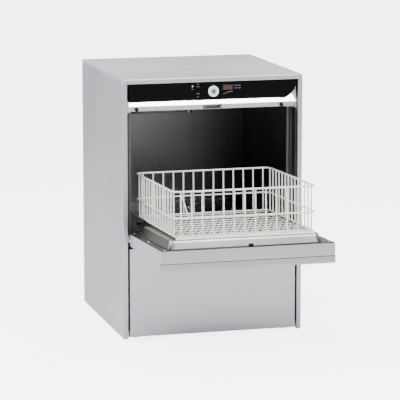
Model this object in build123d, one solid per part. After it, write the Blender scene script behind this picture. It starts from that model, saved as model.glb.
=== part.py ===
from build123d import *
import math
import os

os.makedirs("parts", exist_ok=True)

# Undercounter commercial dishwasher, millimetres. Z up from the floor, X to the right.
# The cabinet's front plane is y = 0 and its back is y = 600. The door lies open in front.

WIDTH = 600.0
DEPTH = 600.0
HEIGHT = 850.0
SHEET = 1.5
HALF = WIDTH / 2

LIP = 15.0               # drop of the top panel's edge
FLANGE = 15.0            # width of the side panels' front return
FACE = 279.0             # half width of everything that sits between the flanges

FASCIA_TOP = 834.5
FASCIA_BOTTOM = 778.0
TRIM_BOTTOM = 762.5
OPEN_BOTTOM = 352.0
OPEN_TOP = 740.5
OPEN_HALF = 262.0
FRAME_Y = 50.0           # plane of the frame that the door closes against
BACK_WALL_Y = 573.3
CEILING_Z = 757.3
DECK_Z = 346.0

HINGE_Y = 20.0
HINGE_Z = 330.0
OPEN_TILT = 3.0          # the open door's tip stands this much above level, degrees
DOOR_TIP = 430.0
DOOR_TAIL = 18.0
DOOR_INNER = 20.0        # inner skin's height above the hinge axis, door lying flat
DOOR_OUTER = -21.0
PLATEAU = 45.0           # height of the raised inner panel above the hinge axis
PLATEAU_HALF = 250.0
PLATEAU_FROM = 36.0
PLATEAU_TO = 402.0
PIN_R = 6.0
RUN = 0.05               # radial running clearance

SPRING_X = 282.0         # the springs pull down on the hinge arms' short ends
SPRING_Y = HINGE_Y + 34 * math.cos(math.radians(OPEN_TILT))
SPRING_TOP = HINGE_Z - 34 * math.sin(math.radians(OPEN_TILT))

RACK_HALF = 230.0
RACK_DEPTH = 500.0
RACK_RIM_Z = 146.0
RACK_MID_Z = 64.0
RACK_TILT = 2.27         # degrees, front end up
RUNNER_R = 4.0
RUNNER_U = 393.0         # runner's place along the open door, from the hinge
RUNNER_V = PLATEAU + RUNNER_R + 0.3
FRONT_PITCH = 34.0
SIDE_PITCH = 34.0
SIDE_COUNT = 14
WIRE_R = 2.5

ARM_Y = 315.0            # the spray arms turn about x = 0, y = 315
PUMP_X = 110.0
DRAIN_X = -120.0
DRAIN_Y = 430.0


def box(x0, x1, y0, y1, z0, z1):
    size = Box(x1 - x0, y1 - y0, z1 - z0)
    return Pos((x0 + x1) / 2, (y0 + y1) / 2, (z0 + z1) / 2) * size


def rod(start, end, radius):
    a = Vector(*start)
    b = Vector(*end)
    plane = Plane(origin=a, z_dir=(b - a).normalized())
    return extrude(plane * Circle(radius), amount=(b - a).length)


def ring(start, end, outer, inner):
    return rod(start, end, outer) - rod(start, end, inner)


def tube(points, outer, inner, bend):
    path = FilletPolyline(*points, radius=bend)
    plane = Plane(origin=path @ 0, z_dir=path % 0)
    skin = sweep(plane * Circle(outer), path=path)
    if inner <= 0:
        return skin
    return skin - sweep(plane * Circle(inner), path=path)


def mirrored(shape, side):
    return shape if side > 0 else mirror(shape, about=Plane.YZ)


def pair(make):
    return Compound([make(-1), make(1)])


def keep(name, shape):
    export_step(shape, "parts/" + name + ".step")


def on_door(shape):
    return Pos(0, HINGE_Y, HINGE_Z) * Rot(-OPEN_TILT, 0, 0) * shape


def runner_centre():
    a = math.radians(OPEN_TILT)
    y = HINGE_Y - RUNNER_U * math.cos(a) + RUNNER_V * math.sin(a)
    z = HINGE_Z + RUNNER_U * math.sin(a) + RUNNER_V * math.cos(a)
    return y, z


def on_rack(shape):
    y, z = runner_centre()
    return Pos(0, y, z) * Rot(-RACK_TILT, 0, 0) * shape


# ---------------------------------------------------------------- cabinet

def side_panel(side):
    inner = HALF - FLANGE
    pts = [(inner, 10), (inner, 0), (HALF, 0), (HALF, 598), (inner, 598), (inner, 598 - SHEET),
           (HALF - SHEET, 598 - SHEET), (HALF - SHEET, SHEET), (inner + SHEET, SHEET), (inner + SHEET, 10)]
    face = make_face(Polyline(*pts, close=True))
    body = Pos(0, 0, 5) * extrude(face, amount=829.5)
    corners = [e for e in body.edges().filter_by(Axis.Z)
               if abs(e.center().X - HALF) < 0.01 or (abs(e.center().X - inner) < 0.01 and e.center().Y < 0.1)]
    body = fillet(corners, 1.2)
    return mirrored(body, side)


def top_panel():
    outer = box(-HALF, HALF, 0, DEPTH, HEIGHT - LIP, HEIGHT)
    outer = fillet(outer.edges().filter_by(Axis.Z), 4)
    outer = fillet(outer.faces().sort_by(Axis.Z)[-1].edges(), 2)
    inner = box(-HALF + SHEET, HALF - SHEET, SHEET, DEPTH - SHEET, HEIGHT - LIP - 5, HEIGHT - SHEET)
    inner = fillet(inner.edges().filter_by(Axis.Z), 3)
    return outer - inner


def back_panel():
    panel = box(-298, 298, 598.3, 599.8, 20, 834)
    holes = [(200, 120, 16.0), (90, 60, 16.0), (-200, 120, 10.2)]
    for x, z, r in holes:
        panel -= rod((x, 590, z), (x, 610, z), r)
    for x in (-288, 288):
        for z in (60, 320, 580, 800):
            panel -= rod((x, 590, z), (x, 610, z), 2.2)
    vents = [Pos(x, 599, 700) * Box(5, 10, 60) for x in range(-120, 121, 20)]
    return panel - vents


def back_screws():
    out = []
    for x in (-288, 288):
        for z in (60, 320, 580, 800):
            head = rod((x, 599.85, z), (x, 602.2, z), 4.2)
            out.append(head + rod((x, 598.1, z), (x, 600, z), 2.1))
    return Compound(out)


def base_tray():
    # the foot nuts and the posts that hold the door springs are welded to the tray
    tray = box(-298, 298, 12, 595, 8, 28) - box(-296.5, 296.5, 13.5, 593.5, 9.5, 30)
    for x in (-250, 250):
        for y in (60, 540):
            nut = Pos(x, y, 9.4) * extrude(RegularPolygon(14, 6), amount=20)
            tray += nut
            tray -= rod((x, y, 0), (x, y, 40), PIN_R + RUN)
    for x in (-SPRING_X, SPRING_X):
        post = box(x - 6, x + 6, SPRING_Y - 6, SPRING_Y + 6, 9.4, 76)
        tray += post + rod((x, SPRING_Y, 75), (x, SPRING_Y, 79.9), 4)
    return tray


def lower_front_panel():
    outer = box(-FACE, FACE, 0.3, 10, 12, 301)
    outer = fillet(outer.faces().sort_by(Axis.Y)[0].edges(), 1.4)
    return outer - box(-FACE + SHEET, FACE - SHEET, 0.3 + SHEET, 20, 12 + SHEET, 301 - SHEET)


def foot(x, y):
    pad = Pos(x, y, 2.5) * Cylinder(20, 5)
    pad = fillet(pad.edges().sort_by(Axis.Z)[-1], 1.5)
    hexagon = Pos(x, y, 5) * extrude(RegularPolygon(9.5, 6), amount=2.5)
    stem = rod((x, y, 6), (x, y, 58), PIN_R)
    return pad + hexagon + stem


# ---------------------------------------------------------------- front controls

SWEEP = [(224, 778), (253, 782), (266, 794), (275, 807), (279, 818)]


def fascia_outline(shrink):
    # shrink draws the same outline that much smaller, for the hollow at the back
    x = FACE - shrink
    low = FASCIA_BOTTOM + shrink
    top = FASCIA_TOP - shrink
    curve = [(px - shrink * 0.9, pz + shrink * 0.9) for px, pz in SWEEP]
    curve[0] = (SWEEP[0][0] - shrink * 0.3, low)
    curve[-1] = (x, SWEEP[-1][1] + shrink * 0.4)
    edge = Spline(*curve)
    rest = Polyline(curve[-1], (x, top), (-x, top), (-x, low), curve[0])
    return make_face(Wire([edge] + rest.edges()))


def upright(face, y0, y1):
    # a face drawn in x, z, made y1 - y0 thick from y0 backwards
    body = extrude(Plane.XZ * face, amount=-(y1 - y0))
    return Pos(0, y0, 0) * body


def control_fascia():
    body = upright(fascia_outline(0), 0.3, 16) - upright(fascia_outline(2.5), 3.3, 17)
    body -= rod((0, -1, 804), (0, 6, 804), 17.8)
    body -= rod((-69.6, -1, 822), (-69.6, 6, 822), 5.2)
    body -= box(31, 65, -1, 6, 807, 824)
    return body


def fascia_trim():
    curve = [(px + 0.3, pz - 0.3) for px, pz in SWEEP]
    curve[0] = (224, FASCIA_BOTTOM - 0.3)
    curve[-1] = (FACE, 817.4)
    edge = Spline(*curve)
    rest = Polyline(curve[-1], (FACE, TRIM_BOTTOM), (-FACE, TRIM_BOTTOM), (-FACE, curve[0][1]), curve[0])
    face = make_face(Wire([edge] + rest.edges()))
    return upright(face, 1.0, 12)


def display_window():
    return box(31.2, 64.8, 0.6, 3.2, 807.2, 823.8)


def start_button():
    cap = rod((0, -2.5, 804), (0, 6, 804), 17.5)
    cap = fillet(cap.edges().sort_by(Axis.Y)[0], 1.5)
    cap -= rod((0, -3, 804), (0, -1.2, 804), 9.5)
    return cap + rod((0, 6, 804), (0, 12, 804), 5)


def start_lens():
    return rod((0, -2.2, 804), (0, -1.25, 804), 9.3)


def power_button():
    cap = rod((-69.6, -0.6, 822), (-69.6, 8, 822), 5.0)
    return fillet(cap.edges().sort_by(Axis.Y)[0], 0.8)


def control_board():
    board = box(-92, 24, 17.5, 19.1, 783, 831)
    board += box(-12, 12, 16, 17.6, 795, 813)
    board += box(-76, -63, 13, 17.6, 816, 828)
    board += box(-60, -30, 19, 37, 788, 812)
    board += box(-88, -70, 19, 31, 786, 806)
    board += box(23, 71, 17.5, 19.1, 783, 831)
    return board + box(33, 63, 3.6, 17.6, 809, 822)


# ---------------------------------------------------------------- opening and chamber

def opening_frame():
    ring_plate = box(-283, 283, FRAME_Y, FRAME_Y + SHEET, 338, 775)
    ring_plate -= box(-OPEN_HALF, OPEN_HALF, 40, 60, OPEN_BOTTOM, OPEN_TOP)
    for side in (-1, 1):
        inner, outer = sorted((side * 281.5, side * 283))
        ring_plate += box(inner, outer, 12, FRAME_Y + SHEET, OPEN_BOTTOM, 775)
        # room for the hinge arm, which stands up here with the door shut
        ring_plate -= box(inner, outer, 10, 38, OPEN_BOTTOM - 2, 400)
        ring_plate -= rod((side * 243, 40, 747), (side * 243, 60, 747), 2.7)
    ring_plate -= box(-20.3, 40.3, 40, 60, 741.7, 756.3)
    return ring_plate


def bumper(side):
    x = side * 243
    head = rod((x, 42, 747), (x, FRAME_Y - 0.05, 747), 6.2)
    head = fillet(head.edges().sort_by(Axis.Y)[0], 2)
    return head + rod((x, 49, 747), (x, 57, 747), 2.6)


def door_catch():
    body = box(-20, 40, 45, 60, 742, 756)
    return body - box(-14, 34, 40, 57, 743.8, 754.2)


def gasket(side):
    x0, x1 = sorted((side * 270.5, side * 279.5))
    body = box(x0, x1, 40.4, FRAME_Y - 0.05, OPEN_BOTTOM, 738)
    return fillet(body.faces().sort_by(Axis.Y)[0].edges().filter_by(Axis.Z), 2)


def chamber_shell():
    # left wall, back, right wall and ceiling, seam-welded into one hood
    shell = box(-265.5, 265.5, 51.8, BACK_WALL_Y + SHEET, OPEN_BOTTOM, CEILING_Z + SHEET)
    shell -= box(-264, 264, 40, BACK_WALL_Y, OPEN_BOTTOM - 10, CEILING_Z)
    return shell - rod((0, ARM_Y, 740), (0, ARM_Y, 770), 13.3)


def wash_tank():
    deck = box(-266, 266, 52, 575, DECK_Z, 351.7) - box(-264.5, 264.5, 53.5, 573.5, DECK_Z + SHEET, 360)
    well = box(-191.5, 191.5, 108.5, 521.5, 234.5, DECK_Z + SHEET)
    well = fillet(well.edges().filter_by(Axis.Z), 25)
    hollow = box(-190, 190, 110, 520, 236, 360)
    hollow = fillet(hollow.edges().filter_by(Axis.Z), 23.5)
    tank = deck + well - hollow
    tank -= rod((PUMP_X, ARM_Y, 200), (PUMP_X, ARM_Y, 240), 22)
    tank -= rod((DRAIN_X, DRAIN_Y, 200), (DRAIN_X, DRAIN_Y, 240), 14)
    tank -= rod((0, ARM_Y, 200), (0, ARM_Y, 240), 12)
    return tank


def rack_rail(side):
    rail = box(216, 262.5, 67, 560, 374.2, 375.7) + box(261, 262.5, 67, 560, 374.2, 398)
    for y in (110, 315, 520):
        rail += box(262.4, 263.9, y - 8, y + 8, 380, 394)
    return mirrored(rail, side)


def surface_filter():
    plate = box(-196, 196, 104, 526, 347.7, 349.2)
    slots = Plane.XY * GridLocations(34, 14, 11, 27) * SlotOverall(26, 6)
    cut = Pos(0, ARM_Y, 340) * extrude(Sketch() + slots, amount=20)
    guard = rod((0, ARM_Y, 330), (0, ARM_Y, 370), 34)
    plate -= cut - guard
    plate -= rod((0, ARM_Y, 340), (0, ARM_Y, 360), 17)
    return plate


def pump_strainer():
    wall = ring((PUMP_X, ARM_Y, 237), (PUMP_X, ARM_Y, 344), 28, 26.5)
    wall += rod((PUMP_X, ARM_Y, 343), (PUMP_X, ARM_Y, 344.5), 28)
    for k in range(6):
        a = math.radians(60 * k)
        spot = Pos(PUMP_X + 27 * math.cos(a), ARM_Y + 27 * math.sin(a), 290) * Rot(0, 0, 60 * k)
        wall -= spot * Box(8, 5, 84)
    return wall


def overflow_pipe():
    pipe = ring((DRAIN_X, DRAIN_Y, 236.3), (DRAIN_X, DRAIN_Y, 344), 13, 11)
    return pipe + ring((DRAIN_X, DRAIN_Y, 236.3), (DRAIN_X, DRAIN_Y, 241), 18, 11)


def tank_heater():
    loop = tube([(60, 112, 262), (60, 240, 262), (-60, 240, 262), (-60, 112, 262)], 4.2, 0, 28)
    return loop + box(-80, 80, 110.2, 113.5, 246, 278)


# ---------------------------------------------------------------- spray arms

def lower_arm_post():
    post = rod((0, ARM_Y, 236.2), (0, ARM_Y, 349.9), 16)
    post += rod((0, ARM_Y, 215), (0, ARM_Y, 240), 11.8)
    post += rod((0, ARM_Y, 349), (0, ARM_Y, 363.3), 8)
    post += rod((0, ARM_Y, 363), (0, ARM_Y, 372.4), 6)
    post += rod((0, ARM_Y, 372.3), (0, ARM_Y, 375), 9)
    return post - rod((0, ARM_Y, 214), (0, ARM_Y, 355), 5)


def upper_arm_post():
    post = rod((0, ARM_Y, 721), (0, ARM_Y, 762), 13)
    post += rod((0, ARM_Y, 706.4), (0, ARM_Y, 722), 8)
    post += rod((0, ARM_Y, 696.4), (0, ARM_Y, 707), 6)
    post += rod((0, ARM_Y, 693.5), (0, ARM_Y, 696.5), 9)
    return post - rod((0, ARM_Y, 712), (0, ARM_Y, 763), 5)


def wash_arm(low, up, turn):
    # flat hollow arm with slots on the side that faces the rack
    blade = extrude(SlotOverall(444, 34), amount=12)
    blade = fillet(blade.faces().sort_by(Axis.Z)[-1].edges(), 3)
    blade = fillet(blade.faces().sort_by(Axis.Z)[0].edges(), 3)
    blade -= Pos(0, 0, 1.5) * extrude(SlotOverall(440, 30), amount=9)
    blade += Cylinder(22, 12, align=(Align.CENTER, Align.CENTER, Align.MIN))
    blade -= Cylinder(8 + RUN, 40)
    for k in (-1, 1):
        for n in range(5):
            spot = Pos(k * (50 + n * 36), 0, 12) * Rot(0, 0, 55 * k)
            blade -= spot * Box(16, 2.4, 8)
    if not up:
        blade = Pos(0, 0, 12) * Rot(180, 0, 0) * blade
    return Pos(0, ARM_Y, low) * Rot(0, 0, turn) * blade


def rinse_arm(mid, up, turn):
    bar = rod((-205, 0, 0), (205, 0, 0), 4.2)
    bar += Pos(0, 0, -4.2) * Cylinder(13, 8.4, align=(Align.CENTER, Align.CENTER, Align.MIN))
    bar -= Cylinder(6 + RUN, 40)
    bar -= rod((14, 0, 0), (202, 0, 0), 3)
    bar -= rod((-14, 0, 0), (-202, 0, 0), 3)
    way = 5 if up else -5
    for k in (-1, 1):
        for n in range(4):
            x = k * (46 + n * 44)
            bar -= rod((x, 0, 0), (x, 0, way), 1.2)
    return Pos(0, ARM_Y, mid) * Rot(0, 0, turn) * bar


def riser_duct():
    side = [(576.5, 222), (595, 222), (595, 778), (300, 778), (300, 762.5), (576.5, 762.5)]
    hollow = [(578, 221), (593.5, 221), (593.5, 776.5), (301.5, 776.5), (301.5, 764), (578, 764)]
    outer = extrude(Plane.YZ * make_face(Polyline(*side, close=True)), amount=30, both=True)
    inner = extrude(Plane.YZ * make_face(Polyline(*hollow, close=True)), amount=28.5, both=True)
    duct = outer - inner
    return duct - rod((0, ARM_Y, 760), (0, ARM_Y, 765), 6)


# ---------------------------------------------------------------- machinery under the tank

def pump_volute():
    body = rod((PUMP_X, ARM_Y, 186), (PUMP_X, ARM_Y, 226), 50)
    body += box(PUMP_X - 50, PUMP_X - 22, ARM_Y, ARM_Y + 90, 190, 218)
    body += rod((PUMP_X, ARM_Y, 225), (PUMP_X, ARM_Y, 234.2), 26)
    body -= rod((PUMP_X, ARM_Y, 190), (PUMP_X, ARM_Y, 222), 44)
    body -= rod((PUMP_X, ARM_Y, 220), (PUMP_X, ARM_Y, 240), 20)
    body -= rod((PUMP_X, ARM_Y, 180), (PUMP_X, ARM_Y, 192), 6 + RUN)
    return body - box(PUMP_X - 47, PUMP_X - 25, ARM_Y + 20, ARM_Y + 95, 193, 215)


def pump_impeller():
    wheel = rod((PUMP_X, ARM_Y, 194), (PUMP_X, ARM_Y, 198), 38)
    wheel += rod((PUMP_X, ARM_Y, 194), (PUMP_X, ARM_Y, 214), 12)
    for k in range(6):
        spot = Pos(PUMP_X, ARM_Y, 204) * Rot(0, 0, 60 * k)
        wheel += spot * Pos(24, 0, 0) * Box(26, 3, 16)
    return wheel - rod((PUMP_X, ARM_Y, 190), (PUMP_X, ARM_Y, 211.95), 6 + RUN)


def motor_rotor():
    shaft = rod((PUMP_X, ARM_Y, 68), (PUMP_X, ARM_Y, 211.9), 6)
    return shaft + rod((PUMP_X, ARM_Y, 96), (PUMP_X, ARM_Y, 156), 30)


def motor_housing():
    body = rod((PUMP_X, ARM_Y, 62), (PUMP_X, ARM_Y, 185.8), 53)
    body = fillet(body.edges().sort_by(Axis.Z)[0], 4)
    body -= rod((PUMP_X, ARM_Y, 67), (PUMP_X, ARM_Y, 181), 49.5)
    body += ring((PUMP_X, ARM_Y, 92), (PUMP_X, ARM_Y, 160), 49.6, 31)
    body -= rod((PUMP_X, ARM_Y, 180), (PUMP_X, ARM_Y, 190), 6 + RUN)
    legs = box(PUMP_X - 45, PUMP_X + 45, ARM_Y - 30, ARM_Y - 22, 9.6, 64)
    legs += box(PUMP_X - 45, PUMP_X + 45, ARM_Y + 22, ARM_Y + 30, 9.6, 64)
    return body + legs


def pump_outlet_pipe():
    return tube([(PUMP_X - 36, ARM_Y + 91, 204), (PUMP_X - 36, 540, 204), (0, 540, 204), (0, 586, 204),
                 (0, 586, 221.8)], 8.5, 6.5, 8)


def boiler():
    shell = rod((-260, 200, 118), (-40, 200, 118), 68)
    shell = fillet(shell.edges(), 10)
    hollow = rod((-258, 200, 118), (-42, 200, 118), 66)
    hollow = fillet(hollow.edges(), 8)
    feet = box(-230, -210, 160, 240, 9.6, 60) + box(-90, -70, 160, 240, 9.6, 60)
    core = rod((-259, 200, 118), (-41, 200, 118), 67)
    return (shell - hollow) + (feet - core)


def drain_pump():
    body = rod((DRAIN_X, DRAIN_Y, 160), (DRAIN_X, DRAIN_Y, 205), 30)
    body += ring((DRAIN_X, DRAIN_Y, 204), (DRAIN_X, DRAIN_Y, 234.2), 16, 11)
    body += rod((DRAIN_X, DRAIN_Y, 110), (DRAIN_X, DRAIN_Y, 161), 24)
    return body + box(DRAIN_X - 12, DRAIN_X + 12, DRAIN_Y - 12, DRAIN_Y + 12, 9.6, 112)


def drain_pipe():
    # from the drain pump to the hose spigot behind the back panel
    bend = [(DRAIN_X + 30.2, DRAIN_Y, 182), (DRAIN_X + 60, DRAIN_Y, 182), (DRAIN_X + 60, 500, 182),
            (90, 500, 182), (90, 540, 182), (90, 540, 60), (90, 620, 60)]
    pipe = tube(bend, 11, 9, 14)
    pipe += ring((90, 592, 60), (90, 598, 60), 22, 9.5)
    return pipe + ring((90, 600.1, 60), (90, 603, 60), 22, 9.5)


def inlet_valve():
    # solenoid valve whose threaded inlet stands out through the back panel
    body = rod((200, 530, 120), (200, 596, 120), 15)
    body += box(186, 214, 540, 566, 132, 176)
    body += rod((200, 595, 120), (200, 622, 120), 13.2)
    body += rod((200, 593, 120), (200, 598, 120), 21)
    body += rod((200, 600.1, 120), (200, 604, 120), 21)
    body -= rod((200, 580, 120), (200, 630, 120), 9)
    return body + box(192, 208, 532, 560, 9.6, 107)


def cable_gland():
    body = ring((-200, 588, 120), (-200, 618, 120), 10, 5.5)
    body += ring((-200, 592, 120), (-200, 598, 120), 15, 5.5)
    nut = Plane(origin=(-200, 600.1, 120), z_dir=(0, 1, 0)) * RegularPolygon(15, 6)
    return body + (extrude(nut, amount=10) - rod((-200, 590, 120), (-200, 620, 120), 5.5))


def rinse_aid_doser():
    # peristaltic pump on its bracket
    body = box(150, 220, 40, 84, 110, 170)
    body += rod((185, 24, 140), (185, 41, 140), 24)
    body += box(150, 220, 84, 86, 9.6, 176)
    return body + box(150, 220, 60, 85, 9.6, 11.6)


# ---------------------------------------------------------------- door

def flat_box(x0, x1, u0, u1, v0, v1):
    # the door lies flat: u runs from the hinge to the tip, v is up towards the chamber side
    return box(x0, x1, -u1, -u0, v0, v1)


def door_outer_pan():
    outer = flat_box(-FACE, FACE, -DOOR_TAIL, DOOR_TIP, DOOR_OUTER, DOOR_INNER - SHEET - 0.05)
    outer = fillet(outer.faces().sort_by(Axis.Z)[0].edges(), 2)
    pan = outer - flat_box(-FACE + SHEET, FACE - SHEET, -DOOR_TAIL + SHEET, DOOR_TIP - SHEET,
                           DOOR_OUTER + SHEET, 40)
    return pan - rod((-300, 0, 0), (300, 0, 0), PIN_R + RUN)


def plateau(grow, top, half, near, far):
    base = Pos(0, -(near + far) / 2, DOOR_INNER - 1) * Rectangle(2 * half + grow, far - near + grow)
    base = fillet(base.vertices(), 22)
    lid = Pos(0, -(near + far) / 2, top) * Rectangle(2 * half + grow - 20, far - near + grow - 20)
    lid = fillet(lid.vertices(), 16)
    return loft([base.face(), lid.face()])


def door_inner_panel():
    skin = flat_box(-FACE, FACE, -DOOR_TAIL, DOOR_TIP, DOOR_INNER - SHEET, DOOR_INNER)
    raised = plateau(0, PLATEAU, PLATEAU_HALF, PLATEAU_FROM, PLATEAU_TO)
    hollow = plateau(-3.4, PLATEAU - SHEET, PLATEAU_HALF, PLATEAU_FROM, PLATEAU_TO)
    low = flat_box(-PLATEAU_HALF + 15, PLATEAU_HALF - 15, PLATEAU_FROM + 15, PLATEAU_TO - 15,
                   DOOR_INNER - 5, DOOR_INNER + 5)
    tongue = flat_box(2, 18, 417, 420, DOOR_INNER - 0.5, 29)
    return skin + raised - hollow - low + tongue


def door_handle():
    outer = flat_box(-FACE - 1, FACE + 1, 404, DOOR_TIP, -45, DOOR_OUTER - 0.05)
    long_edges = [e for e in outer.edges().filter_by(Axis.X) if e.center().Z < -40]
    outer = fillet(long_edges, 7)
    hollow = flat_box(-FACE - 5, FACE - 1, 390, DOOR_TIP - 2, -43, DOOR_OUTER - 2.05)
    inner_edges = [e for e in hollow.edges().filter_by(Axis.X) if e.center().Z < -40]
    hollow = fillet(inner_edges, 5)
    # shallow rebate along the joint with the pan, less deep than the 2 mm sheet
    rebate = flat_box(-FACE - 2, FACE + 2, DOOR_TIP - 1.2, DOOR_TIP + 1, DOOR_OUTER - 1.4, DOOR_OUTER + 1)
    return outer - hollow - rebate


def door_screws():
    out = []
    for x in (-264, 264):
        for u in (22, 220, 414):
            head = rod((x, -u, DOOR_INNER + 0.05), (x, -u, DOOR_INNER + 2.2), 4)
            out.append(fillet(head.edges().sort_by(Axis.Z)[-1], 1.2))
    return Compound(out)


def hinge_arm(side):
    plate = flat_box(280, 284, -40, 62, -6, 6)
    plate = fillet(plate.edges().filter_by(Axis.X), 5.5)
    plate += rod((280, 0, 0), (284, 0, 0), 13)
    plate -= rod((270, 0, 0), (300, 0, 0), PIN_R + RUN)
    plate -= rod((270, 34, 0), (300, 34, 0), 2.2)
    plate += rod((279.1, -50, 0), (280.2, -50, 0), 5)
    return mirrored(plate, side)


def hinge_pin(side):
    pin = rod((268, 0, 0), (296, 0, 0), PIN_R)
    pin += rod((268, 0, 0), (271, 0, 0), 9)
    return mirrored(pin, side)


def hinge_bracket(side):
    plate = box(285.0, 290, 12, 46, 296, 366)
    plate += box(289, 298.4, 12, 17, 296, 366)
    plate += box(289, 298.4, 41, 46, 296, 366)
    plate = plate - rod((280, HINGE_Y, HINGE_Z), (300, HINGE_Y, HINGE_Z), PIN_R + RUN)
    return mirrored(plate, side)


def door_spring(side):
    coil_path = Helix(pitch=8, height=160, radius=6.5)
    start = Plane(origin=coil_path @ 0, z_dir=coil_path % 0)
    coil = sweep(start * Circle(1.4), path=coil_path, is_frenet=True)
    coil = Pos(SPRING_X, SPRING_Y, 110) * coil
    top = rod((SPRING_X, SPRING_Y, 268), (SPRING_X, SPRING_Y, SPRING_TOP - 8), 1.4)
    top += rod((SPRING_X, SPRING_Y, 270), (SPRING_X + 6.8, SPRING_Y, 270), 1.4)
    low = rod((SPRING_X, SPRING_Y, 80), (SPRING_X, SPRING_Y, 112), 1.4)
    low += rod((SPRING_X, SPRING_Y, 110), (SPRING_X + 6.8, SPRING_Y, 110), 1.4)
    return mirrored(coil + top + low, side)


# ---------------------------------------------------------------- wire rack

RIM_R = 3.0
FRONT_Y = -0.5
REAR_Y = RACK_DEPTH - 4 - RIM_R
SIDE_X = RACK_HALF - RIM_R


def loop_wire(z, radius):
    shift = RIM_R - radius
    width = 2 * (SIDE_X + shift)
    length = REAR_Y - FRONT_Y + 2 * shift
    face = Pos(0, (REAR_Y + FRONT_Y) / 2, z) * RectangleRounded(width, length, 26)
    path = face.wires()[0]
    start = Plane(origin=path @ 0, z_dir=path % 0)
    return sweep(start * Circle(radius), path=path)


def end_wires(y):
    bars = [rod((-219, y, 6), (219, y, 6), WIRE_R)]
    for k in range(-6, 7):
        bars.append(rod((FRONT_PITCH * k, y, 6), (FRONT_PITCH * k, y, RACK_RIM_Z), WIRE_R))
    return Part() + bars


def front_wires():
    y = FRONT_Y + RIM_R + WIRE_R - 0.4
    brace = rod((-204, y, RACK_RIM_Z - 1), (-180, y, RACK_MID_Z), 2.0)
    return end_wires(y) + brace


def rear_wires():
    return end_wires(REAR_Y - RIM_R - WIRE_R + 0.4)


def side_wires(side):
    x = SIDE_X - RIM_R - WIRE_R + 0.4
    bars = [rod((x, 12, 6), (x, REAR_Y - 14, 6), WIRE_R)]
    for k in range(SIDE_COUNT):
        y = 25 + SIDE_PITCH * k
        bars.append(rod((x, y, 6), (x, y, RACK_RIM_Z), WIRE_R))
    return mirrored(Part() + bars, side)


def wall_wires():
    return Compound([front_wires(), rear_wires(), side_wires(-1), side_wires(1)])


def floor_grid():
    grid = []
    for k in range(-6, 7):
        grid.append(rod((FRONT_PITCH * k, 6, -1.5), (FRONT_PITCH * k, REAR_Y - 5, -1.5), WIRE_R))
    for k in range(SIDE_COUNT):
        y = 25 + SIDE_PITCH * k
        grid.append(rod((-SIDE_X + 7, y, 3), (SIDE_X - 7, y, 3), WIRE_R))
    for side in (-1, 1):
        x0, x1 = sorted((side * 203, side * 207))
        ear = box(x0, x1, -3.6, 14, -3.4, 9) - box(x0, x1, -5, 0, -5, 0)
        grid.append(ear - rod((-230, 0, 0), (230, 0, 0), RUNNER_R + RUN))
    return Part() + grid


def rack_runner():
    return rod((-222, 0, 0), (222, 0, 0), RUNNER_R)


# ---------------------------------------------------------------- write every piece

for word, side in (("left", -1), ("right", 1)):
    keep("side_panel_" + word, side_panel(side))
    keep("rack_rail_" + word, rack_rail(side))
    keep("foot_front_" + word, foot(side * 250, 60))
    keep("foot_rear_" + word, foot(side * 250, 540))

keep("top_panel", top_panel())
keep("back_panel", back_panel())
keep("back_panel_screws", back_screws())
keep("base_tray", base_tray())
keep("lower_front_panel", lower_front_panel())
keep("control_fascia", control_fascia())
keep("fascia_trim", fascia_trim())
keep("display_window", display_window())
keep("start_button", start_button())
keep("start_button_lens", start_lens())
keep("power_button", power_button())
keep("control_board", control_board())
keep("opening_frame", opening_frame())
keep("door_bumpers", pair(bumper))
keep("door_gaskets", pair(gasket))
keep("door_catch", door_catch())
keep("chamber_shell", chamber_shell())
keep("wash_tank", wash_tank())
keep("tank_heater", tank_heater())
keep("surface_filter", surface_filter())
keep("pump_strainer", pump_strainer())
keep("overflow_pipe", overflow_pipe())
keep("lower_arm_post", lower_arm_post())
keep("lower_wash_arm", wash_arm(350.4, True, 25))
keep("lower_rinse_arm", rinse_arm(368.0, True, 70))
keep("upper_arm_post", upper_arm_post())
keep("upper_wash_arm", wash_arm(708.0, False, 0))
keep("upper_rinse_arm", rinse_arm(701.6, False, 6))
keep("riser_duct", riser_duct())
keep("pump_volute", pump_volute())
keep("pump_impeller", pump_impeller())
keep("motor_rotor", motor_rotor())
keep("motor_housing", motor_housing())
keep("boiler", boiler())
keep("drain_pump", drain_pump())
keep("drain_pipe", drain_pipe())
keep("inlet_valve", inlet_valve())
keep("cable_gland", cable_gland())
keep("rinse_aid_doser", rinse_aid_doser())
keep("hinge_brackets", pair(hinge_bracket))
keep("hinge_arms", on_door(pair(hinge_arm)))
keep("hinge_pins", on_door(pair(hinge_pin)))
keep("door_springs", pair(door_spring))
keep("door_outer_pan", on_door(door_outer_pan()))
keep("door_inner_panel", on_door(door_inner_panel()))
keep("door_handle", on_door(door_handle()))
keep("door_screws", on_door(door_screws()))
keep("rack_rim_wire", on_rack(loop_wire(RACK_RIM_Z, RIM_R)))
keep("rack_middle_wire", on_rack(loop_wire(RACK_MID_Z, WIRE_R)))
keep("rack_wall_wires", on_rack(wall_wires()))
keep("rack_floor_grid", on_rack(floor_grid()))
keep("rack_runner", on_rack(rack_runner()))
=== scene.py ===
import math

import bmesh
import bpy
from mathutils import Matrix, Vector


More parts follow.
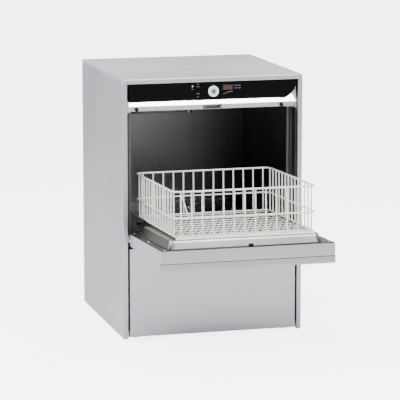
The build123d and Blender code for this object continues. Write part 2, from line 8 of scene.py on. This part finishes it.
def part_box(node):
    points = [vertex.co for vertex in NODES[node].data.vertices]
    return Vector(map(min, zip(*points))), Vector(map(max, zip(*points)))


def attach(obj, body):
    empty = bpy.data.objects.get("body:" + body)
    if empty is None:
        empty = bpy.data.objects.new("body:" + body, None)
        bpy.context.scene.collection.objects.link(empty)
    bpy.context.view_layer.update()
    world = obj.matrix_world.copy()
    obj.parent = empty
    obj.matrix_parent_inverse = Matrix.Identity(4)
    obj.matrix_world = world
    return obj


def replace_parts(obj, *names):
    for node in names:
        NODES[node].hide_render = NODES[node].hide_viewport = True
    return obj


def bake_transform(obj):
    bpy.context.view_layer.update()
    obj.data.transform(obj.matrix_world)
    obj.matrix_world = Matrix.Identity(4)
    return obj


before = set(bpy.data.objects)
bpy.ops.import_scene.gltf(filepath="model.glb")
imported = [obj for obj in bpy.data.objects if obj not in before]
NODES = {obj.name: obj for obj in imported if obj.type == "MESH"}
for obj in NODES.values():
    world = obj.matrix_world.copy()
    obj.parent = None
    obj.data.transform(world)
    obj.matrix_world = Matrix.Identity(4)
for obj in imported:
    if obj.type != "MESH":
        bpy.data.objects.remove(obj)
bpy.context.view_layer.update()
MM = 0.001

# the rack lies on the open door, front end up by this much
RACK_TILT = math.radians(2.27)
RUNNER = Vector((0.0, -0.369881, 0.399800))

# the door's hinge line, and how far the open door's tip stands above level
HINGE = Vector((0.0, 0.020, 0.330))
DOOR_TILT = math.radians(3)


# ------------------------------------------------------------------ materials

def new_material(name):
    mat = bpy.data.materials.new(name)
    mat.use_nodes = True
    nt = mat.node_tree
    nt.nodes.clear()
    out = nt.nodes.new("ShaderNodeOutputMaterial")
    shader = nt.nodes.new("ShaderNodeBsdfPrincipled")
    nt.links.new(shader.outputs["BSDF"], out.inputs["Surface"])
    return mat, nt, shader


def noise(nt, scale, detail=4.0, rough=0.55, stretch=(1, 1, 1), turn=(0, 0, 0)):
    coord = nt.nodes.new("ShaderNodeTexCoord")
    mapping = nt.nodes.new("ShaderNodeMapping")
    mapping.inputs["Scale"].default_value = stretch
    mapping.inputs["Rotation"].default_value = turn
    tex = nt.nodes.new("ShaderNodeTexNoise")
    tex.inputs["Scale"].default_value = scale
    tex.inputs["Detail"].default_value = detail
    tex.inputs["Roughness"].default_value = rough
    nt.links.new(coord.outputs["Object"], mapping.inputs["Vector"])
    nt.links.new(mapping.outputs["Vector"], tex.inputs["Vector"])
    return tex.outputs["Fac"]


def ranged(nt, value, low, high, start=0.3, end=0.7):
    node = nt.nodes.new("ShaderNodeMapRange")
    node.inputs["From Min"].default_value = start
    node.inputs["From Max"].default_value = end
    node.inputs["To Min"].default_value = low
    node.inputs["To Max"].default_value = high
    nt.links.new(value, node.inputs["Value"])
    return node.outputs["Result"]


def place_axis(nt, axis):
    """One coordinate of the surface point at rest, in metres."""
    coord = nt.nodes.new("ShaderNodeTexCoord")
    split = nt.nodes.new("ShaderNodeSeparateXYZ")
    nt.links.new(coord.outputs["Object"], split.inputs["Vector"])
    return split.outputs[axis]


def shader_of(mat):
    return next(n for n in mat.node_tree.nodes if n.type == "BSDF_PRINCIPLED")


def repaint(mat, mask, colour):
    """Multiplies a finish by colour where mask is 1, keeping the grain's light and shade."""
    nt = mat.node_tree
    shader = shader_of(mat)
    grain = shader.inputs["Base Color"].links[0].from_socket
    tint = nt.nodes.new("ShaderNodeMix")
    tint.data_type = "RGBA"
    tint.blend_type = "MULTIPLY"
    tint.inputs["B"].default_value = (*colour, 1)
    nt.links.new(mask, tint.inputs["Factor"])
    nt.links.new(grain, tint.inputs["A"])
    nt.links.new(tint.outputs["Result"], shader.inputs["Base Color"])


def math_node(nt, kind, a, b):
    node = nt.nodes.new("ShaderNodeMath")
    node.operation = kind
    for socket, value in zip(node.inputs, (a, b)):
        if isinstance(value, (int, float)):
            socket.default_value = value
        else:
            nt.links.new(value, socket)
    return node.outputs["Value"]


def tinted(nt, value, dark, light):
    node = nt.nodes.new("ShaderNodeMix")
    node.data_type = "RGBA"
    node.inputs["A"].default_value = (*dark, 1)
    node.inputs["B"].default_value = (*light, 1)
    nt.links.new(value, node.inputs["Factor"])
    return node.outputs["Result"]


def relief(nt, shader, height, distance, strength=0.3, soft_edge=0.0):
    bump = nt.nodes.new("ShaderNodeBump")
    bump.inputs["Strength"].default_value = strength
    bump.inputs["Distance"].default_value = distance
    nt.links.new(height, bump.inputs["Height"])
    if soft_edge > 0:
        edge = nt.nodes.new("ShaderNodeBevel")
        edge.samples = 4
        edge.inputs["Radius"].default_value = soft_edge
        nt.links.new(edge.outputs["Normal"], bump.inputs["Normal"])
    nt.links.new(bump.outputs["Normal"], shader.inputs["Normal"])


def brushed(name, colour, rough, along, soft_edge=0.0006, smudge=0.05, grain=0.035, depth=0.35):
    """Brushed sheet: long fine scratches along one axis, with faint wiped patches."""
    mat, nt, shader = new_material(name)
    stretch = {"X": (1.6, 420, 420), "Y": (420, 1.6, 420), "Z": (420, 420, 1.6)}[along]
    fine = noise(nt, 1.0, 3.0, 0.6, stretch)
    coarse = noise(nt, 1.0, 2.0, 0.5, tuple(v * 0.22 for v in stretch))
    broad = noise(nt, 1.0, 2.0, 0.5, tuple(v * 0.06 for v in stretch))
    wiped = noise(nt, 3.2, 3.0, 0.55, (1, 1.3, 0.8))
    fine_share = math_node(nt, "MULTIPLY", fine, 0.5)
    coarse_share = math_node(nt, "MULTIPLY", coarse, 0.28)
    broad_share = math_node(nt, "MULTIPLY", broad, 0.22)
    lines = math_node(nt, "ADD", math_node(nt, "ADD", fine_share, coarse_share), broad_share)
    dark = tuple(c * (1 - grain * 1.6) for c in colour)
    light = tuple(min(1.0, c * (1 + grain)) for c in colour)
    nt.links.new(tinted(nt, ranged(nt, lines, 0, 1), dark, light), shader.inputs["Base Color"])
    base = ranged(nt, lines, rough - 0.04, rough + 0.05)
    patch = ranged(nt, wiped, -smudge, smudge)
    nt.links.new(math_node(nt, "ADD", base, patch), shader.inputs["Roughness"])
    shader.inputs["Metallic"].default_value = 1.0
    shader.inputs["Anisotropic"].default_value = 0.35
    relief(nt, shader, lines, 0.00006, depth, soft_edge)
    return mat


def moulded(name, colour, rough, grain=0.00004, scale=900, coat=0.0, vary=0.06, soft_edge=0.0004,
            subsurface=0.0):
    """Plastic or rubber: fine moulded grain, slight unevenness in tone and gloss."""
    mat, nt, shader = new_material(name)
    fine = noise(nt, scale, 3.0)
    broad = noise(nt, 14, 3.0)
    dark = tuple(c * (1 - vary) for c in colour)
    light = tuple(min(1.0, c * (1 + vary)) for c in colour)
    nt.links.new(tinted(nt, ranged(nt, broad, 0, 1), dark, light), shader.inputs["Base Color"])
    nt.links.new(ranged(nt, broad, rough * 0.85, rough * 1.15), shader.inputs["Roughness"])
    shader.inputs["Coat Weight"].default_value = coat
    shader.inputs["Coat Roughness"].default_value = 0.06
    shader.inputs["Subsurface Weight"].default_value = subsurface
    relief(nt, shader, fine, grain, 0.3, soft_edge)
    return mat


def set_gloss(mat, level):
    shader_of(mat).inputs["Specular IOR Level"].default_value = level


steel_panel = brushed("steel_panel", (0.63, 0.633, 0.672), 0.36, "Z")
steel_top = brushed("steel_top", (0.70, 0.703, 0.745), 0.38, "X")
steel_front = brushed("steel_front", (0.66, 0.663, 0.70), 0.36, "X")
steel_handle = brushed("steel_handle", (0.56, 0.563, 0.595), 0.33, "X")
# painted shade: the tank, filters, arms and rack rails inside the chamber take a much darker copy of the
# panel steel
steel_chamber = brushed("steel_chamber", (0.20, 0.203, 0.21), 0.26, "Z", smudge=0.02, grain=0.02, depth=0.04)
# painted shade: the inner door's steel is a darker, browner copy of the panel steel
steel_inner_door_painted_shade = brushed("steel_inner_door_painted_shade", (0.34, 0.333, 0.325), 0.36, "X", smudge=0.04, depth=0.15)
steel_plain = brushed("steel_plain", (0.52, 0.52, 0.53), 0.42, "X", smudge=0.08)
steel_dull = brushed("steel_dull", (0.26, 0.26, 0.27), 0.42, "X", smudge=0.08)
steel_bright = brushed("steel_bright", (0.74, 0.74, 0.75), 0.16, "X", smudge=0.03, grain=0.02)
steel_wire = brushed("steel_wire", (0.40, 0.40, 0.41), 0.34, "Z", soft_edge=0)
trim_bright = brushed("trim_bright", (0.97, 0.97, 0.975), 0.24, "X", soft_edge=0, smudge=0.02, grain=0.012,
                      depth=0.1)
# painted light and shade: the frame's pale colour stands in for light on the lip below the trim;
# shade_opening_frame paints shade below the lip
steel_frame_painted_light_and_shade = brushed("steel_frame_painted_light_and_shade", (0.93, 0.93, 0.94), 0.40, "X")
# painted shade: the chamber shell's steel is a much darker copy of the panel steel
steel_hood_painted_shade = brushed("steel_hood_painted_shade", (0.235, 0.24, 0.25), 0.30, "Z", smudge=0.02, grain=0.02, depth=0.02)
brass_cast = brushed("brass_cast", (0.62, 0.44, 0.20), 0.40, "Y", smudge=0.1)
motor_paint = moulded("motor_paint", (0.045, 0.05, 0.06), 0.45, 0.0001, 300)
fascia_black = moulded("fascia_black", (0.0015, 0.0014, 0.0015), 0.10, 0.00001, 500, vary=0.2)
set_gloss(fascia_black, 0.12)
display_red = moulded("display_red", (0.045, 0.028, 0.028), 0.12, 0.00001, 400, vary=0.3)
set_gloss(display_red, 0.3)
button_white = moulded("button_white", (0.93, 0.95, 0.94), 0.22, 0.00002, 500, coat=0.6, subsurface=0.1)
lens_green = moulded("lens_green", (0.20, 0.42, 0.32), 0.18, 0.00002, 500, coat=0.8)
board_green = moulded("board_green", (0.02, 0.09, 0.04), 0.4, 0.0001, 200)
rubber_black = moulded("rubber_black", (0.012, 0.012, 0.012), 0.62, 0.00012, 500)
plastic_grey = moulded("plastic_grey", (0.12, 0.125, 0.13), 0.48, 0.0001, 420)
plastic_white = moulded("plastic_white", (0.62, 0.62, 0.60), 0.42, 0.00008, 420)
plastic_blue = moulded("plastic_blue", (0.03, 0.08, 0.22), 0.4, 0.00008, 420)
rack_coat = moulded("rack_coat", (0.80, 0.765, 0.715), 0.34, 0.00018, 260, coat=0.35, vary=0.05, soft_edge=0,
                    subsurface=0.08)
print_bright = moulded("print_bright", (0.75, 0.75, 0.75), 0.4, 0.00001, 700, soft_edge=0)
print_white = moulded("print_white", (0.16, 0.16, 0.165), 0.4, 0.00001, 700, soft_edge=0)
print_orange = moulded("print_orange", (0.20, 0.13, 0.10), 0.4, 0.00001, 700, soft_edge=0)
icon_green = moulded("icon_green", (0.01, 0.13, 0.07), 0.35, 0.00001, 700, soft_edge=0)


# The next four functions paint shade by place on the machine, at rest, in metres.

def shade_opening_frame(mat):
    """Painted shade below the bright strip under the fascia."""
    nt = mat.node_tree
    repaint(mat, ranged(nt, place_axis(nt, "Z"), 1, 0, 0.7375, 0.7385), (0.16, 0.16, 0.165))


def shade_hood(mat):
    """Painted shade: the hood's sheet is darker towards its right side."""
    nt = mat.node_tree
    repaint(mat, ranged(nt, place_axis(nt, "X"), 0, 1, -0.22, 0.24), (0.22, 0.215, 0.22))


def shade_inner_door(mat):
    """Painted shade under the rack and in the sunk border, and the raised panel's front slope toned down with
    painted shade.
    """
    nt = mat.node_tree
    beside = math_node(nt, "ABSOLUTE", place_axis(nt, "X"), 0)
    sides = ranged(nt, beside, 0, 1, 0.2395, 0.2405)
    tip = ranged(nt, place_axis(nt, "Y"), 1, 0, -0.3835, -0.3815)
    repaint(mat, math_node(nt, "MAXIMUM", sides, tip), (0.30, 0.285, 0.27))
    slope = ranged(nt, place_axis(nt, "Y"), 1, 0, -0.3725, -0.3705)
    repaint(mat, slope, (0.34, 0.34, 0.355))
    under_x = ranged(nt, beside, 1, 0, 0.214, 0.226)
    under_y = ranged(nt, place_axis(nt, "Y"), 0, 1, -0.366, -0.356)
    repaint(mat, math_node(nt, "MULTIPLY", under_x, under_y), (0.07, 0.07, 0.075))


def shade_handle(mat):
    """Painted shadow in the handle's rebate under the pan, a dark line along the joint; height is square to
    the open door.
    """
    rebate_floor = -0.0224
    nt = mat.node_tree
    from_y = math_node(nt, "MULTIPLY", place_axis(nt, "Y"), math.sin(DOOR_TILT))
    from_z = math_node(nt, "MULTIPLY", place_axis(nt, "Z"), math.cos(DOOR_TILT))
    height = math_node(nt, "ADD", from_y, from_z)
    start = HINGE.y * math.sin(DOOR_TILT) + HINGE.z * math.cos(DOOR_TILT) + rebate_floor
    repaint(mat, ranged(nt, height, 0, 1, start - 0.00015, start - 0.00005), (0.05, 0.05, 0.05))


shade_opening_frame(steel_frame_painted_light_and_shade)
shade_hood(steel_hood_painted_shade)
shade_inner_door(steel_inner_door_painted_shade)
shade_handle(steel_handle)

FINISH = {
    "side_panel_left": steel_panel, "side_panel_right": steel_panel, "top_panel": steel_top,
    "back_panel": steel_plain, "back_panel_screws": steel_bright, "base_tray": steel_plain,
    "lower_front_panel": steel_front, "opening_frame": steel_frame_painted_light_and_shade, "door_catch": steel_dull,
    "foot_front_left": plastic_grey, "foot_front_right": plastic_grey,
    "foot_rear_left": plastic_grey, "foot_rear_right": plastic_grey,
    "control_fascia": fascia_black, "fascia_trim": trim_bright, "display_window": display_red,
    "start_button": button_white, "start_button_lens": lens_green, "power_button": fascia_black,
    "control_board": board_green, "door_bumpers": rubber_black, "door_gaskets": rubber_black,
    "chamber_shell": steel_hood_painted_shade, "wash_tank": steel_chamber, "tank_heater": steel_bright,
    "surface_filter": steel_chamber, "pump_strainer": steel_chamber, "overflow_pipe": steel_bright,
    "rack_rail_left": steel_chamber, "rack_rail_right": steel_chamber,
    "lower_arm_post": steel_bright, "lower_wash_arm": steel_chamber, "lower_rinse_arm": steel_bright,
    "upper_arm_post": steel_chamber, "upper_wash_arm": steel_chamber, "upper_rinse_arm": steel_chamber,
    "riser_duct": steel_plain, "pump_volute": plastic_grey, "pump_impeller": plastic_blue,
    "motor_rotor": steel_plain, "motor_housing": motor_paint, "boiler": steel_plain,
    "drain_pump": plastic_grey, "drain_pipe": plastic_white, "inlet_valve": brass_cast,
    "cable_gland": plastic_grey, "rinse_aid_doser": plastic_blue, "hinge_brackets": steel_plain,
    "hinge_arms": steel_plain, "hinge_pins": steel_bright, "door_springs": steel_wire,
    "door_outer_pan": steel_front, "door_inner_panel": steel_inner_door_painted_shade, "door_handle": steel_handle,
    "door_screws": steel_bright, "rack_rim_wire": rack_coat, "rack_middle_wire": rack_coat,
    "rack_wall_wires": rack_coat, "rack_floor_grid": rack_coat, "rack_runner": rack_coat,
}
for node_name, finish in FINISH.items():
    node = NODES[node_name]
    node.data.materials.clear()
    node.data.materials.append(finish)


# ------------------------------------------------------------------ mesh helpers

def add_object(name, bm, mat, body, smooth=True):
    mesh = bpy.data.meshes.new(name)
    bm.to_mesh(mesh)
    bm.free()
    obj = bpy.data.objects.new(name, mesh)
    bpy.context.scene.collection.objects.link(obj)
    mesh.materials.append(mat)
    for poly in mesh.polygons:
        poly.use_smooth = smooth
    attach(obj, body)
    return obj


def add_rod(bm, a, b, radius, sides=12):
    a = Vector(a)
    b = Vector(b)
    along = (b - a).normalized()
    turn = along.to_track_quat("Z", "Y").to_matrix().to_4x4()
    place = Matrix.Translation((a + b) / 2) @ turn
    bmesh.ops.create_cone(bm, cap_ends=True, segments=sides, radius1=radius, radius2=radius,
                          depth=(b - a).length, matrix=place)


def add_block(bm, low, high, bevel=0.0):
    place = Matrix.Translation((Vector(low) + Vector(high)) / 2)
    size = Vector(high) - Vector(low)
    made = bmesh.ops.create_cube(bm, size=1.0, matrix=place @ Matrix.Diagonal((*size, 1)))
    if bevel > 0:
        edges = list({e for v in made["verts"] for e in v.link_edges})
        bmesh.ops.bevel(bm, geom=edges, offset=bevel, segments=2, profile=0.5, affect="EDGES")


def add_print(bm, outline, y=0.0003, thick=0.00012):
    """A printed mark on the fascia: outline in x, z metres, standing just proud of the face."""
    front = [bm.verts.new((x, y - thick, z)) for x, z in outline]
    back = [bm.verts.new((x, y, z)) for x, z in outline]
    bm.faces.new(front)
    bm.faces.new(back[::-1])
    count = len(outline)
    for i in range(count):
        j = (i + 1) % count
        bm.faces.new((front[i], back[i], back[j], front[j]))
    bmesh.ops.recalc_face_normals(bm, faces=bm.faces)


def circle(cx, cz, radius, count=28):
    return [(cx + radius * math.cos(2 * math.pi * k / count), cz + radius * math.sin(2 * math.pi * k / count))
            for k in range(count)]


def bar(x0, x1, z0, z1):
    return [(x0, z0), (x1, z0), (x1, z1), (x0, z1)]


# ------------------------------------------------------------------ printed marks on the fascia

def fascia_marks():
    bm = bmesh.new()
    # up and down keys beside the power button, with a short dash each
    add_print(bm, [(-54 * MM, 827 * MM), (-49 * MM, 827 * MM), (-51.5 * MM, 830.4 * MM)])
    add_print(bm, bar(-56 * MM, -47 * MM, 819.4 * MM, 821 * MM))
    add_print(bm, bar(-56 * MM, -47 * MM, 796.6 * MM, 798.4 * MM))
    add_print(bm, [(-53.8 * MM, 789 * MM), (-49.2 * MM, 789 * MM), (-51.5 * MM, 785.6 * MM)])
    add_print(bm, bar(-73 * MM, -66 * MM, 812.4 * MM, 813.6 * MM))
    # two columns of short scale dashes right of the display
    for column in (69, 81):
        for row in (820, 811.5):
            add_print(bm, bar(column * MM, (column + 10) * MM, row * MM, (row + 1.5) * MM))
    add_object("fascia_marks", bm, print_white, "cabinet", smooth=False)

    bm = bmesh.new()
    run = [(32, 794.5), (40, 795.5), (47, 799.6), (54, 799.9), (64, 801.6)]
    for (xa, za), (xb, zb) in zip(run, run[1:]):
        outline = [(xa, za), (xb, zb), (xb, zb + 1.3), (xa, za + 1.3)]
        add_print(bm, [(x * MM, z * MM) for x, z in outline])
    add_object("fascia_heat_line", bm, print_orange, "cabinet", smooth=False)

    # unlit seven-segment figures behind the display window
    bm = bmesh.new()
    for k in range(3):
        x = (36 + k * 9.5) * MM
        for low in (809.6, 815.0, 820.4):
            add_print(bm, bar(x + 0.7 * MM, x + 4.7 * MM, low * MM, (low + 0.8) * MM), y=0.0006)
        for side in (0.0, 4.6):
            for low in (810.6, 816.0):
                add_print(bm, bar(x + side * MM, x + (side + 0.8) * MM, low * MM, (low + 4.1) * MM), y=0.0006)
    segment = moulded("display_segments", (0.10, 0.045, 0.04), 0.3, 0.00001, 600, soft_edge=0)
    add_object("display_segments", bm, segment, "cabinet", smooth=False)


def key_marks():
    """A dark disc in a thin ring on the start key's lens, and a small lit dot on the power key."""
    bm = bmesh.new()
    low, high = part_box("start_button_lens")
    add_print(bm, circle(0, 804 * MM, 4.9 * MM), y=low.y, thick=0.00015)
    face = low.y - 0.00015
    rows = []
    for radius, y in ((8.2, face), (7.3, face), (7.3, low.y), (8.2, low.y)):
        rows.append([bm.verts.new((x, y, z)) for x, z in circle(0, 804 * MM, radius * MM)])
    count = len(rows[0])
    for a in range(4):
        b = (a + 1) % 4
        for i in range(count):
            j = (i + 1) % count
            bm.faces.new((rows[a][i], rows[a][j], rows[b][j], rows[b][i]))
    bmesh.ops.recalc_face_normals(bm, faces=bm.faces)
    add_object("start_mark", bm, icon_green, "start_key", smooth=False)

    bm = bmesh.new()
    low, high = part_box("power_button")
    middle = (low + high) / 2
    add_print(bm, circle(middle.x, middle.z, 2.3 * MM), y=low.y, thick=0.00012)
    add_object("power_mark", bm, print_bright, "power_key", smooth=False)


def bright_trim():
    """The strip under the fascia: its face leans back a little, so that it catches the light from above."""
    low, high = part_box("fascia_trim")
    lean, most_lean = 0.31, 0.0085
    copy = NODES["fascia_trim"].data.copy()
    obj = bpy.data.objects.new("fascia_trim_lit", copy)
    bpy.context.scene.collection.objects.link(obj)
    front = low.y + 0.0004
    bm = bmesh.new()
    bm.from_mesh(copy)
    bmesh.ops.remove_doubles(bm, verts=bm.verts, dist=0.00002)
    bmesh.ops.triangulate(bm, faces=bm.faces)
    for vert in bm.verts:
        if vert.co.y < front:
            vert.co.y += min(most_lean, lean * (vert.co.z - low.z))
    bm.to_mesh(copy)
    bm.free()
    copy.materials.clear()
    copy.materials.append(trim_bright)
    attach(obj, "cabinet")
    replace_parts(obj, "fascia_trim")


# ------------------------------------------------------------------ wire rack floor

def rack_floor():
    """The floor is a close mesh of coated wires, so it is drawn here wire by wire."""
    long_pitch, long_radius = 0.0172, 0.0017
    cross_pitch, cross_radius = 0.0462, 0.0018
    bm = bmesh.new()
    for k in range(-12, 13):
        x = long_pitch * k
        add_rod(bm, (x, 0.0062, -0.0015), (x, 0.4875, -0.0015), long_radius)
    for k in range(11):
        y = 0.0135 + cross_pitch * k
        add_rod(bm, (-0.2195, y, 0.0022), (0.2195, y, 0.0016), cross_radius)
    for side in (-1, 1):
        add_block(bm, (side * 0.205 - 0.002, 0.0042, -0.0033), (side * 0.205 + 0.002, 0.0135, 0.0088), 0.0006)
        add_block(bm, (side * 0.205 - 0.002, -0.0035, 0.0044), (side * 0.205 + 0.002, 0.0045, 0.0088), 0.0006)
    place = Matrix.Translation(RUNNER) @ Matrix.Rotation(-RACK_TILT, 4, "X")
    bm.transform(place)
    obj = add_object("rack_floor_mesh", bm, rack_coat, "rack")
    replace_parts(obj, "rack_floor_grid")


# ------------------------------------------------------------------ door springs

# how far behind the hinge line the spring hooks on to its arm
HOOK_REACH = 0.034


def door_spring(side):
    """A close-wound extension spring from the base to the hinge arm; its coil keeps one length."""
    x0 = side * 0.282
    y0 = HINGE.y + HOOK_REACH * math.cos(DOOR_TILT)
    top = HINGE.z - HOOK_REACH * math.sin(DOOR_TILT) - 0.0075
    coil_low, coil_high, radius, wire = 0.112, 0.268, 0.0064, 0.0014
    turns, per_turn = 34, 14
    path = [Vector((x0, y0, 0.0805)), Vector((x0, y0, coil_low - 0.006))]
    for k in range(turns * per_turn + 1):
        a = 2 * math.pi * k / per_turn
        z = coil_low + (coil_high - coil_low) * k / (turns * per_turn)
        path.append(Vector((x0 + radius * math.cos(a), y0 + radius * math.sin(a), z)))
    path += [Vector((x0, y0, coil_high + 0.006)), Vector((x0, y0, top))]
    curve = bpy.data.curves.new("spring_path", "CURVE")
    curve.dimensions = "3D"
    curve.bevel_depth = wire
    curve.bevel_resolution = 2
    spline = curve.splines.new("POLY")
    spline.points.add(len(path) - 1)
    for point, where in zip(spline.points, path):
        point.co = (*where, 1)
    holder = bpy.data.objects.new("spring_path", curve)
    bpy.context.scene.collection.objects.link(holder)
    bpy.context.view_layer.update()
    mesh = bpy.data.meshes.new_from_object(holder.evaluated_get(bpy.context.evaluated_depsgraph_get()))
    bpy.data.objects.remove(holder)
    word = "left" if side < 0 else "right"
    obj = bpy.data.objects.new("door_spring_" + word, mesh)
    bpy.context.scene.collection.objects.link(obj)
    mesh.materials.clear()
    mesh.materials.append(steel_wire)
    for poly in mesh.polygons:
        poly.use_smooth = True
    # only the top hook turns with the hinge arm; the coil hangs from it
    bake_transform(obj)
    return obj


# ------------------------------------------------------------------ room, light, camera

# how much brighter the floor and the world look to the camera than to the machine
FLOOR_GLOW = 4.6
WORLD_GLOW = 4.2
WORLD_LIGHT = 1.35


def studio_floor():
    bm = bmesh.new()
    bmesh.ops.create_grid(bm, x_segments=1, y_segments=1, size=45)
    mesh = bpy.data.meshes.new("studio_floor")
    bm.to_mesh(mesh)
    bm.free()
    floor = bpy.data.objects.new("studio_floor", mesh)
    bpy.context.scene.collection.objects.link(floor)
    mat, nt, shader = new_material("studio_floor")
    cloud = noise(nt, 0.6, 2.0)
    nt.links.new(tinted(nt, ranged(nt, cloud, 0, 1), (0.60, 0.60, 0.60), (0.62, 0.62, 0.62)),
                 shader.inputs["Base Color"])
    shader.inputs["Roughness"].default_value = 0.9
    # seen straight, the pale floor is lit up like a light table; what it throws on the machine stays soft
    path = nt.nodes.new("ShaderNodeLightPath")
    shader.inputs["Emission Color"].default_value = (1, 1, 1, 1)
    lit = math_node(nt, "MULTIPLY", path.outputs["Is Camera Ray"], FLOOR_GLOW)
    nt.links.new(lit, shader.inputs["Emission Strength"])
    mesh.materials.append(mat)


def studio_world():
    world = bpy.data.worlds.new("studio")
    world.use_nodes = True
    nt = world.node_tree
    nt.nodes.clear()
    out = nt.nodes.new("ShaderNodeOutputWorld")
    back = nt.nodes.new("ShaderNodeBackground")
    coord = nt.nodes.new("ShaderNodeTexCoord")
    split = nt.nodes.new("ShaderNodeSeparateXYZ")
    nt.links.new(coord.outputs["Generated"], split.inputs["Vector"])
    # dimmer in front of the machine, so that the open chamber stays dark; seen straight it is even all round
    path = nt.nodes.new("ShaderNodeLightPath")
    behind = ranged(nt, split.outputs["Y"], 0, 1, -0.7, 0.25)
    bright = math_node(nt, "MAXIMUM", behind, path.outputs["Is Camera Ray"])
    nt.links.new(tinted(nt, bright, (0.34, 0.345, 0.36), (0.90, 0.91, 0.93)), back.inputs["Color"])
    seen = math_node(nt, "MULTIPLY", path.outputs["Is Camera Ray"], WORLD_GLOW)
    nt.links.new(math_node(nt, "ADD", seen, WORLD_LIGHT), back.inputs["Strength"])
    nt.links.new(back.outputs["Background"], out.inputs["Surface"])
    bpy.context.scene.world = world


def area(name, where, look, size, power, colour=(1, 1, 1)):
    data = bpy.data.lights.new(name, "AREA")
    data.shape = "RECTANGLE"
    data.size, data.size_y = size
    data.energy = power
    data.color = colour
    lamp = bpy.data.objects.new(name, data)
    lamp.location = where
    lamp.rotation_mode = "QUATERNION"
    lamp.rotation_quaternion = (Vector(look) - Vector(where)).to_track_quat("-Z", "Y")
    bpy.context.scene.collection.objects.link(lamp)


def camera():
    azimuth = math.radians(15.28)
    drop = math.radians(10.06)
    data = bpy.data.cameras.new("camera")
    data.lens = 207.6
    data.sensor_width = 36
    data.clip_end = 60
    data.dof.use_dof = False
    cam = bpy.data.objects.new("camera", data)
    cam.location = (-1.980, -7.083, 1.754)
    look = Vector((math.sin(azimuth) * math.cos(drop), math.cos(azimuth) * math.cos(drop), -math.sin(drop)))
    cam.rotation_mode = "QUATERNION"
    cam.rotation_quaternion = look.to_track_quat("-Z", "Y")
    bpy.context.scene.collection.objects.link(cam)
    bpy.context.scene.camera = cam


fascia_marks()
key_marks()
bright_trim()
rack_floor()
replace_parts(door_spring(-1), "door_springs")
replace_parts(door_spring(1), "door_springs")
studio_floor()
studio_world()
area("key", (-1.5, -2.4, 4.2), (0, 0.0, 0.5), (2.2, 1.6), 230)
area("front", (1.1, -3.3, 3.0), (0, 0.0, 0.5), (2.4, 1.2), 190)
area("side", (-4.0, 0.8, 1.6), (0, 0.3, 0.4), (2.4, 2.4), 150)
area("top", (0.2, 0.9, 3.6), (0, 0.3, 0.5), (2.6, 2.6), 40)
camera()
